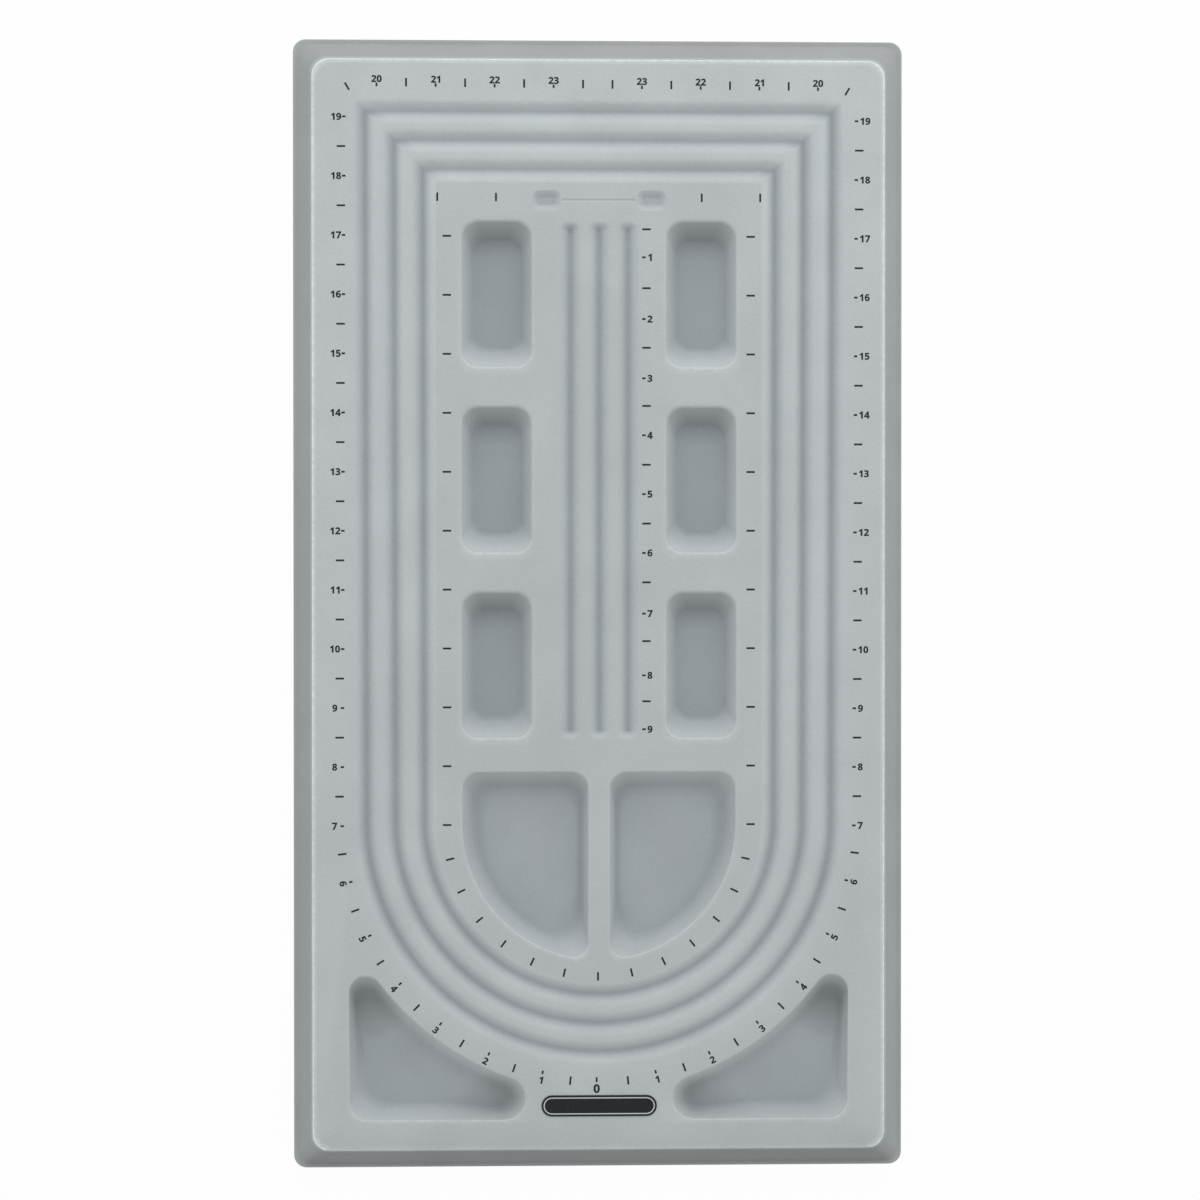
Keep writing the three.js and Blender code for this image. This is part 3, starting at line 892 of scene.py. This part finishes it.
def seen_directly(tree):
    """Socket that is 1 for rays from the camera, off a gloss or through glass, and 0 for other light."""
    path = add_node(tree, "ShaderNodeLightPath")
    seen = path.outputs["Is Camera Ray"]
    for ray in ("Is Glossy Ray", "Is Transmission Ray"):
        either = add_node(tree, "ShaderNodeMath", {0: seen, 1: path.outputs[ray]}, operation="MAXIMUM")
        seen = either.outputs[0]
    return seen


def flock_material(colours):
    """Rayon flock, blown upright on to glue: matt, with a soft bloom at grazing angles and no gloss."""
    material, tree = blank_material("rayon_flock_grey")
    place = add_node(tree, "ShaderNodeTexCoord").outputs["Object"]
    # Pile lies a little this way and that over some 30 mm, and its tufts show as a mottle.
    # Single fibres are 0.02 mm thick, so the tufts are drawn 1.4 mm across to show.
    clouds = add_node(tree, "ShaderNodeTexNoise", {"Vector": place, "Scale": 1 / 0.030, "Detail": 3.0})
    tufts = add_node(tree, "ShaderNodeTexNoise", {"Vector": place, "Scale": 1 / 0.0014, "Detail": 3.0})
    highlight_noise = add_node(tree, "ShaderNodeTexNoise", {"Vector": place, "Scale": 1 / 0.0025, "Detail": 1.0})
    cloudy = add_node(
        tree,
        "ShaderNodeMapRange",
        {"Value": clouds.outputs["Fac"], **NOISE_SPREAD, "To Min": 0.965, "To Max": 1.035},
    )
    tufted = add_node(
        tree,
        "ShaderNodeMapRange",
        {"Value": tufts.outputs["Fac"], **NOISE_SPREAD, "To Min": 0.975, "To Max": 1.025},
    )
    shade = add_node(
        tree,
        "ShaderNodeMath",
        {0: cloudy.outputs["Result"], 1: tufted.outputs["Result"]},
        operation="MULTIPLY",
    )
    marks = {}
    for name in PILE_LAYERS:
        marks[name] = add_node(tree, "ShaderNodeAttribute", attribute_name=name).outputs["Fac"]
    highlight_patches = add_node(
        tree,
        "ShaderNodeMapRange",
        {"Value": highlight_noise.outputs["Fac"], **NOISE_SPREAD, "To Min": 0.55, "To Max": 1.0},
    )
    highlit = add_node(
        tree, "ShaderNodeMath", {0: marks["painted_highlight"], 1: highlight_patches.outputs["Result"]}, operation="MULTIPLY"
    )
    coats = (
        # Painted shade: recesses are drawn darker towards their floors, and the deck a little darker
        # inside the channels and along its lower end
        (marks["pressed"], colours.flock_pressed),
        # The outer wall and its lip are drawn in a darker, greyer pile
        (marks["side_wall"], colours.flock_side),
        # Painted highlight: the deck's outer edge and the pockets' rims on the badge's side are drawn
        # near white, in patches
        (highlit.outputs[0], colours.flock_edge),
    )
    pile = rgba(colours.flock)
    for mark, over in coats:
        coat = add_node(tree, "ShaderNodeMix", {"Factor": mark, 6: pile, 7: rgba(over)}, data_type="RGBA")
        pile = coat.outputs[2]
    # Painted shade: walls that face the badge, away from the soft box, and the corner pockets' narrow
    # tips are drawn darker
    dimmed = add_node(
        tree,
        "ShaderNodeMapRange",
        {"Value": marks["painted_dimming"], "To Min": 1.0, "To Max": colours.lean_shade},
    )
    dim = add_node(
        tree, "ShaderNodeMath", {0: shade.outputs[0], 1: dimmed.outputs["Result"]}, operation="MULTIPLY"
    )
    tint = add_node(tree, "ShaderNodeVectorMath", {0: pile, "Scale": dim.outputs[0]}, operation="SCALE")
    bump = add_node(
        tree, "ShaderNodeBump", {"Height": tufts.outputs["Fac"], "Strength": 0.35, "Distance": 0.0003}
    )
    shader = add_node(
        tree,
        "ShaderNodeBsdfPrincipled",
        {
            "Base Color": tint.outputs[0],
            "Normal": bump.outputs["Normal"],
            "Roughness": 1.0,
            "IOR": 1.45,
            "Specular IOR Level": 0.1,
            "Sheen Weight": 0.3,
            "Sheen Roughness": 0.5,
        },
    )
    add_node(tree, "ShaderNodeOutputMaterial", {"Surface": shader.outputs[0]})
    return material


def sheet_material(colours):
    """High-impact polystyrene, vacuum formed: satin, with the faint orange peel that forming leaves."""
    material, tree = blank_material("polystyrene_sheet_grey")
    place = add_node(tree, "ShaderNodeTexCoord").outputs["Object"]
    # Orange peel some 1.5 mm across, and thickness that drifts over some 40 mm as the sheet stretches
    peel = add_node(tree, "ShaderNodeTexNoise", {"Vector": place, "Scale": 1 / 0.0015, "Detail": 2.0})
    drift = add_node(tree, "ShaderNodeTexNoise", {"Vector": place, "Scale": 1 / 0.040, "Detail": 2.0})
    shade = add_node(
        tree,
        "ShaderNodeMapRange",
        {"Value": drift.outputs["Fac"], **NOISE_SPREAD, "To Min": 0.94, "To Max": 1.05},
    )
    tint = add_node(
        tree,
        "ShaderNodeVectorMath",
        {0: colours.sheet[:], "Scale": shade.outputs["Result"]},
        operation="SCALE",
    )
    rough = add_node(
        tree,
        "ShaderNodeMapRange",
        {"Value": peel.outputs["Fac"], **NOISE_SPREAD, "To Min": 0.36, "To Max": 0.5},
    )
    bump = add_node(
        tree, "ShaderNodeBump", {"Height": peel.outputs["Fac"], "Strength": 0.15, "Distance": 0.0003}
    )
    shader = add_node(
        tree,
        "ShaderNodeBsdfPrincipled",
        {
            "Base Color": tint.outputs[0],
            "Roughness": rough.outputs["Result"],
            "Normal": bump.outputs["Normal"],
            "IOR": 1.59,
        },
    )
    add_node(tree, "ShaderNodeOutputMaterial", {"Surface": shader.outputs[0]})
    return material


def ink_material(name, body, colours, gap):
    """Screen-printing ink on pile: flat, and a little broken where fibres stand through it."""
    material, tree = blank_material(name)
    place = add_node(tree, "ShaderNodeTexCoord").outputs["Object"]
    # Fibre tips show as grey flecks, drawn 0.35 mm across to show
    flecks = add_node(tree, "ShaderNodeTexNoise", {"Vector": place, "Scale": 1 / 0.00035, "Detail": 2.0})
    bare = add_node(
        tree,
        "ShaderNodeMapRange",
        {"Value": flecks.outputs["Fac"], "From Min": 0.52, "From Max": 0.8, "To Min": 0.0, "To Max": gap},
    )
    tint = add_node(
        tree,
        "ShaderNodeMix",
        {"Factor": bare.outputs["Result"], 6: rgba(body), 7: rgba(colours.flock)},
        data_type="RGBA",
    )
    bump = add_node(
        tree, "ShaderNodeBump", {"Height": flecks.outputs["Fac"], "Strength": 0.3, "Distance": 0.0001}
    )
    shader = add_node(
        tree,
        "ShaderNodeBsdfPrincipled",
        {
            "Base Color": tint.outputs[2],
            "Normal": bump.outputs["Normal"],
            "Roughness": 0.75,
            "IOR": 1.48,
            "Specular IOR Level": 0.3,
        },
    )
    add_node(tree, "ShaderNodeOutputMaterial", {"Surface": shader.outputs[0]})
    return material


def settings():
    return bpy.context.scene.bead_board


class BEADBOARD_OT_flock(bpy.types.Operator):
    """Make the flock coat over the whole upper face"""

    bl_idname = "bead_board.flock"
    bl_label = "Flock coat"

    def execute(self, context):
        board = settings()
        plan = Plan(board.sizes)
        piece = skin_layer("flock_pile", plan, 0, board.sizes.pile_thickness, SEEN, HIDDEN, grooved=True)
        piece.data.materials.append(flock_material(board.colours))
        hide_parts("flock_coat")
        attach(piece, "root")
        return {"FINISHED"}


class BEADBOARD_OT_sheet(bpy.types.Operator):
    """Make the formed sheet under the flock"""

    bl_idname = "bead_board.sheet"
    bl_label = "Formed sheet"

    def execute(self, context):
        board = settings()
        plan = Plan(board.sizes)
        piece = skin_layer("formed_sheet", plan, PILE_HIGH.z - SHEET_HIGH.z, plan.skin(), HIDDEN, SEEN)
        piece.data.materials.append(sheet_material(board.colours))
        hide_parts("tray_shell")
        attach(piece, "root")
        return {"FINISHED"}


class BEADBOARD_OT_badge(bpy.types.Operator):
    """Make the bare printed badge with its pale line"""

    bl_idname = "bead_board.badge"
    bl_label = "Badge"

    # Steps of each round end
    end_steps = 20

    def execute(self, context):
        board = settings()
        sizes = board.print
        middle, z = (BADGE_LOW + BADGE_HIGH) / 2, BADGE_LOW.z
        end = (BADGE_HIGH.y - BADGE_LOW.y) / 2
        left, right = BADGE_LOW.x + end, BADGE_HIGH.x - end
        bm = bmesh.new()

        def top_face():
            return max(bm.faces, key=lambda f: f.calc_center_median().z)

        pen = Pen(bm, middle.x, middle.y - end, z)
        pen.line(right, middle.y - end, z).turn(right, middle.y, z, math.pi, self.end_steps)
        pen.line(left, middle.y + end, z).turn(left, middle.y, z, math.pi, self.end_steps)
        bmesh.ops.contextual_create(bm, geom=pen.closed())
        raised = bmesh.ops.extrude_face_region(bm, geom=bm.faces[:])["geom"]
        thickness = BADGE_HIGH.z - BADGE_LOW.z
        bmesh.ops.translate(bm, vec=(0, 0, thickness), verts=only(raised, bmesh.types.BMVert))
        bmesh.ops.recalc_face_normals(bm, faces=bm.faces)
        bmesh.ops.bevel(
            bm,
            geom=top_face().edges[:],
            offset=sizes.badge_edge,
            affect="EDGES",
            segments=2,
            profile=0.5,
            material=-1,
        )
        face = top_face()
        bmesh.ops.inset_region(bm, faces=[face], thickness=sizes.keyline_inset, use_even_offset=True)
        width = sizes.keyline_width
        line = bmesh.ops.inset_region(bm, faces=[face], thickness=width, use_even_offset=True)
        for part in line["faces"]:
            part.material_index = 1
        ink = ink_material("badge_ink_black", board.colours.ink, board.colours, gap=0.05)
        pale = ink_material("badge_ink_pale", board.colours.keyline, board.colours, gap=0.2)
        piece = finished("badge", bm, ink, pale)
        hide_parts("badge_plate")
        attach(piece, "root")
        return {"FINISHED"}


class Printer:
    """Lays ticks and numbers on the deck."""

    # Part of the ink film that lies in the pile
    sunk = 0.1
    # The ink spreads a little in the pile, so its edge stands outside the strokes
    spread = 0.02
    # Bold figures without serifs have their own places among the characters, from this one on
    bold_zero = 0x1D7EC

    def __init__(self, sizes):
        self.sizes, self.z = sizes, PILE_HIGH.z + sizes.film * (0.5 - self.sunk)
        self.bm = bmesh.new()
        self.cut = {}

    def place(self, x, y, angle):
        return Matrix.Translation((x, y, self.z)) @ Matrix.Rotation(angle, 4, "Z")

    def tick(self, x, y, size, angle=0.0):
        """Bar of ink, level unless it is turned."""
        bar = Matrix.Diagonal((size, self.sizes.tick_width, self.sizes.film, 1))
        bmesh.ops.create_cube(self.bm, size=1, matrix=self.place(x, y, angle) @ bar)

    def mark(self, half, tick, dash, figure, turn=0.0, upright=0.0, start=0.0):
        """A half inch's tick, or a whole inch's dash and number. Each has its own place."""
        if half % 2:
            self.tick(*tick, self.sizes.tick_length, turn)
        else:
            self.tick(*dash, self.sizes.dash_length, turn)
            self.figure(half // 2, *figure, self.sizes.figure_height, upright, start)

    def figure(self, value, x, y, height, angle=0.0, start=0.0):
        """Number at a point: its middle, or its left end where start is 1."""
        if value not in self.cut:
            self.cut[value] = self.outline(value)
        mesh, size = self.cut[value]
        grow = height / size.y
        flat = Matrix.Diagonal((grow, grow, self.sizes.film / size.z, 1))
        copy = mesh.copy()
        copy.transform(self.place(x, y, angle) @ flat @ shift(start * size.x / 2, 0))
        self.bm.from_mesh(copy)
        bpy.data.meshes.remove(copy)

    def outline(self, value):
        """Closed mesh of a number about its own middle, and its size."""
        curve = bpy.data.curves.new("figure", "FONT")
        curve.body = "".join(chr(self.bold_zero + int(digit)) for digit in str(value))
        curve.resolution_u = 2
        curve.bevel_depth = self.spread
        curve.bevel_resolution = 0
        holder = bpy.data.objects.new("figure", curve)
        bpy.context.scene.collection.objects.link(holder)
        bpy.context.view_layer.update()
        graph = bpy.context.evaluated_depsgraph_get()
        mesh = bpy.data.meshes.new_from_object(holder.evaluated_get(graph))
        bpy.data.objects.remove(holder)
        bpy.data.curves.remove(curve)
        bm = bmesh.new()
        bm.from_mesh(mesh)
        bmesh.ops.remove_doubles(bm, verts=bm.verts, dist=TOUCH)
        bm.to_mesh(mesh)
        bm.free()
        low = Vector([min(v.co[i] for v in mesh.vertices) for i in range(3)])
        high = Vector([max(v.co[i] for v in mesh.vertices) for i in range(3)])
        mesh.transform(Matrix.Translation(-(low + high) / 2))
        return mesh, high - low

    def printed(self):
        """Everything laid so far. The single numbers are cleared away."""
        for mesh, _ in self.cut.values():
            bpy.data.meshes.remove(mesh)
        return self.bm


class BEADBOARD_OT_scale(bpy.types.Operator):
    """Print the length scale: ticks every half inch and plain numbers"""

    bl_idname = "bead_board.scale"
    bl_label = "Printed scale"

    # In each scale, three places are those of the tick, the dash and the number.
    # Side scales, from one value. The print leans, is stretched on the left and sits lower on the right
    side_halves = range(14, 39)
    side_value = 13
    side_y = 0.05725
    side_lean = 0.0033
    upright_value = 10
    left_stretch = 0.00006
    right_drop = 0.0007
    left_x = (-0.11175, -0.11055, -0.11385)
    right_x = (0.11195, 0.1107, 0.1123)
    # Top scale, counted back from the middle, with a turned tick in each corner
    top_halves = range(39, 48)
    top_value = 23.75
    top_x = -0.0005
    top_y = 0.22435
    top_lean = 0.006
    top_rises = (0, -0.0011, 0.0014)
    corner_drop = 0.002
    corner_turn = math.radians(59)
    # Arc's scale, where seven inches are a quarter turn
    arc_halves = range(1, 14)
    inch_turn = math.radians(90 / 7)
    arc_y = -0.09515
    arc_radii = (0.1115, 0.1099, 0.1133)
    zero_x = -0.0011
    zero_y = -0.20945
    zero_dash_y = -0.20555
    zero_dash_length = 0.0021
    # Ticks inside the U channels
    inner_values = range(7, 18)
    inner_turns = range(-6, 7)
    inner_x = 0.0656
    inner_radius = 0.0655
    inner_arc_x = -0.0005
    inner_arc_y = -0.09535
    inner_top_x = (-0.0697, -0.0444, 0.0444, 0.0697)
    inner_top_y = 0.17565
    # Ruler beside the straight channels. Some of its marks are set unevenly
    ruler_halves = range(1, 19)
    ruler_y = 0.17465
    ruler_x = (0.0205, 0.0194, 0.022)
    ruler_slips = {1: -0.0006, 2: 0.0006, 2.5: 0.0003, 3: 0.0008, 7: 0.0008, 8: 0.0021, 8.5: 0.0006}

    def execute(self, context):
        board = settings()
        sizes = board.print
        printer = Printer(sizes)
        self.sides(printer)
        self.top(printer, sizes)
        self.arc(printer, sizes)
        self.inner(printer, sizes)
        self.ruler(printer)
        ink = ink_material("print_ink_black", board.colours.ink, board.colours, gap=0.12)
        piece = finished("printed_scale", printer.printed(), ink)
        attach(piece, "root")
        return {"FINISHED"}

    def sides(self, printer):
        for half in self.side_halves:
            inches = half / 2 - self.side_value
            left_y = self.side_y + inches * (INCH + self.left_stretch)
            right_y = self.side_y + inches * INCH - self.right_drop
            lean = (half / 2 - self.upright_value) * INCH * self.side_lean
            printer.mark(half, *((x + lean, left_y) for x in self.left_x))
            printer.mark(half, *((x + lean, right_y) for x in self.right_x), start=1)

    def top(self, printer, sizes):
        for half in self.top_halves:
            for side in (-1, 1):
                inches = side * (self.top_value - half / 2)
                x = inches * INCH + self.top_x
                y = self.top_y - inches * INCH * self.top_lean
                if half == self.top_halves[0]:
                    printer.tick(x, y - self.corner_drop, sizes.tick_length, side * self.corner_turn)
                else:
                    printer.mark(half, *((x, y + rise) for rise in self.top_rises), turn=math.pi / 2)

    def arc(self, printer, sizes):
        middle = Vector((0, self.arc_y))
        for half in self.arc_halves:
            for side in (-1, 1):
                turn = side * half / 2 * self.inch_turn
                out = Vector((math.sin(turn), -math.cos(turn)))
                places = [middle + out * radius for radius in self.arc_radii]
                printer.mark(half, *places, turn=turn + math.pi / 2, upright=turn)
        printer.tick(self.zero_x, self.zero_dash_y, self.zero_dash_length, math.pi / 2)
        printer.figure(0, self.zero_x, self.zero_y, sizes.zero_height)

    def inner(self, printer, sizes):
        for value in self.inner_values:
            for side in (-1, 1):
                y = self.side_y + (value - self.side_value) * INCH
                printer.tick(side * self.inner_x, y, sizes.tick_length)
        for step in self.inner_turns:
            turn = step * self.inch_turn
            x = self.inner_arc_x + self.inner_radius * math.sin(turn)
            y = self.inner_arc_y - self.inner_radius * math.cos(turn)
            printer.tick(x, y, sizes.tick_length, turn + math.pi / 2)
        for x in self.inner_top_x:
            printer.tick(x, self.inner_top_y, sizes.tick_length, math.pi / 2)

    def ruler(self, printer):
        for half in self.ruler_halves:
            y = self.ruler_y - half / 2 * INCH - self.ruler_slips.get(half / 2, 0)
            printer.mark(half, *((x, y) for x in self.ruler_x))


class BEADBOARD_OT_stage(bpy.types.Operator):
    """Set up the white floor, the soft light and the camera"""

    bl_idname = "bead_board.stage"
    bl_label = "Studio"

    # Half of the floor's side, and its gap below the board
    floor_half = 6
    floor_gap = 0.0002
    # Part of the floor's own white that the camera sees
    floor_white = 0.96

    def execute(self, context):
        scene = context.scene
        stage = settings().stage
        scene.view_settings.view_transform = "Standard"
        self.floor()
        self.light(scene, stage)
        view = bpy.data.cameras.new("camera")
        view.lens = stage.lens
        camera = bpy.data.objects.new("camera", view)
        camera.location = stage.camera_place
        camera.rotation_euler = stage.camera_turn
        scene.collection.objects.link(camera)
        scene.camera = camera
        return {"FINISHED"}

    def floor(self):
        bm = bmesh.new()
        level = Matrix.Translation((0, 0, -self.floor_gap))
        bmesh.ops.create_grid(bm, x_segments=1, y_segments=1, size=self.floor_half, matrix=level)
        material, tree = blank_material("white_floor")
        # The camera sees nearly all of the floor's own white, so it takes only a little of the shadow
        shown = add_node(
            tree, "ShaderNodeMath", {0: seen_directly(tree), 1: self.floor_white}, operation="MULTIPLY"
        )
        matt = add_node(tree, "ShaderNodeBsdfDiffuse", {"Color": (0.8, 0.8, 0.8, 1)})
        white = add_node(tree, "ShaderNodeEmission", {"Color": (1, 1, 1, 1), "Strength": 1.0})
        mixed = add_node(
            tree, "ShaderNodeMixShader", {0: shown.outputs[0], 1: matt.outputs[0], 2: white.outputs[0]}
        )
        add_node(tree, "ShaderNodeOutputMaterial", {"Surface": mixed.outputs[0]})
        finished("floor", bm, material)

    def light(self, scene, stage):
        world = bpy.data.worlds.new("studio")
        world.use_nodes = True
        tree = world.node_tree
        tree.nodes.clear()
        strength = add_node(
            tree,
            "ShaderNodeMapRange",
            {"Value": seen_directly(tree), "To Min": stage.sky, "To Max": 1.0},
        )
        back = add_node(
            tree,
            "ShaderNodeBackground",
            {"Color": (1, 1, 1, 1), "Strength": strength.outputs["Result"]},
        )
        add_node(tree, "ShaderNodeOutputWorld", {"Surface": back.outputs[0]})
        scene.world = world
        lamp = bpy.data.lights.new("soft_box", "AREA")
        lamp.energy = stage.lamp_power
        lamp.size = stage.lamp_size
        holder = bpy.data.objects.new("soft_box", lamp)
        holder.location = stage.lamp_place
        holder.rotation_euler = (-holder.location).to_track_quat("-Z", "Y").to_euler()
        scene.collection.objects.link(holder)


class BeadBoardSettings(bpy.types.PropertyGroup):
    """Everything a user may change."""

    sizes: bpy.props.PointerProperty(type=BoardSizes)
    print: bpy.props.PointerProperty(type=PrintSizes)
    colours: bpy.props.PointerProperty(type=BoardColours)
    stage: bpy.props.PointerProperty(type=StageSettings)


class BEADBOARD_PT_panel(bpy.types.Panel):
    """Lists the board's pieces and its settings"""

    bl_idname = "BEADBOARD_PT_panel"
    bl_label = "Bead board"
    bl_space_type = "VIEW_3D"
    bl_region_type = "UI"
    bl_category = "Bead board"

    def draw(self, context):
        board = context.scene.bead_board
        for operator in OPERATORS:
            self.layout.operator(operator.bl_idname)
        for group in (board.sizes, board.print, board.colours, board.stage):
            box = self.layout.box()
            for name in group.__annotations__:
                box.prop(group, name)


OPERATORS = (
    BEADBOARD_OT_flock,
    BEADBOARD_OT_sheet,
    BEADBOARD_OT_badge,
    BEADBOARD_OT_scale,
    BEADBOARD_OT_stage,
)
CLASSES = (
    BoardSizes,
    PrintSizes,
    BoardColours,
    StageSettings,
    BeadBoardSettings,
    *OPERATORS,
    BEADBOARD_PT_panel,
)


def register():
    for each in CLASSES:
        bpy.utils.register_class(each)
    bpy.types.Scene.bead_board = bpy.props.PointerProperty(type=BeadBoardSettings)


def unregister():
    del bpy.types.Scene.bead_board
    for each in reversed(CLASSES):
        bpy.utils.unregister_class(each)


def main():
    register()
    bpy.ops.bead_board.flock()
    bpy.ops.bead_board.sheet()
    bpy.ops.bead_board.badge()
    bpy.ops.bead_board.scale()
    bpy.ops.bead_board.stage()


if __name__ == "__main__":
    main()
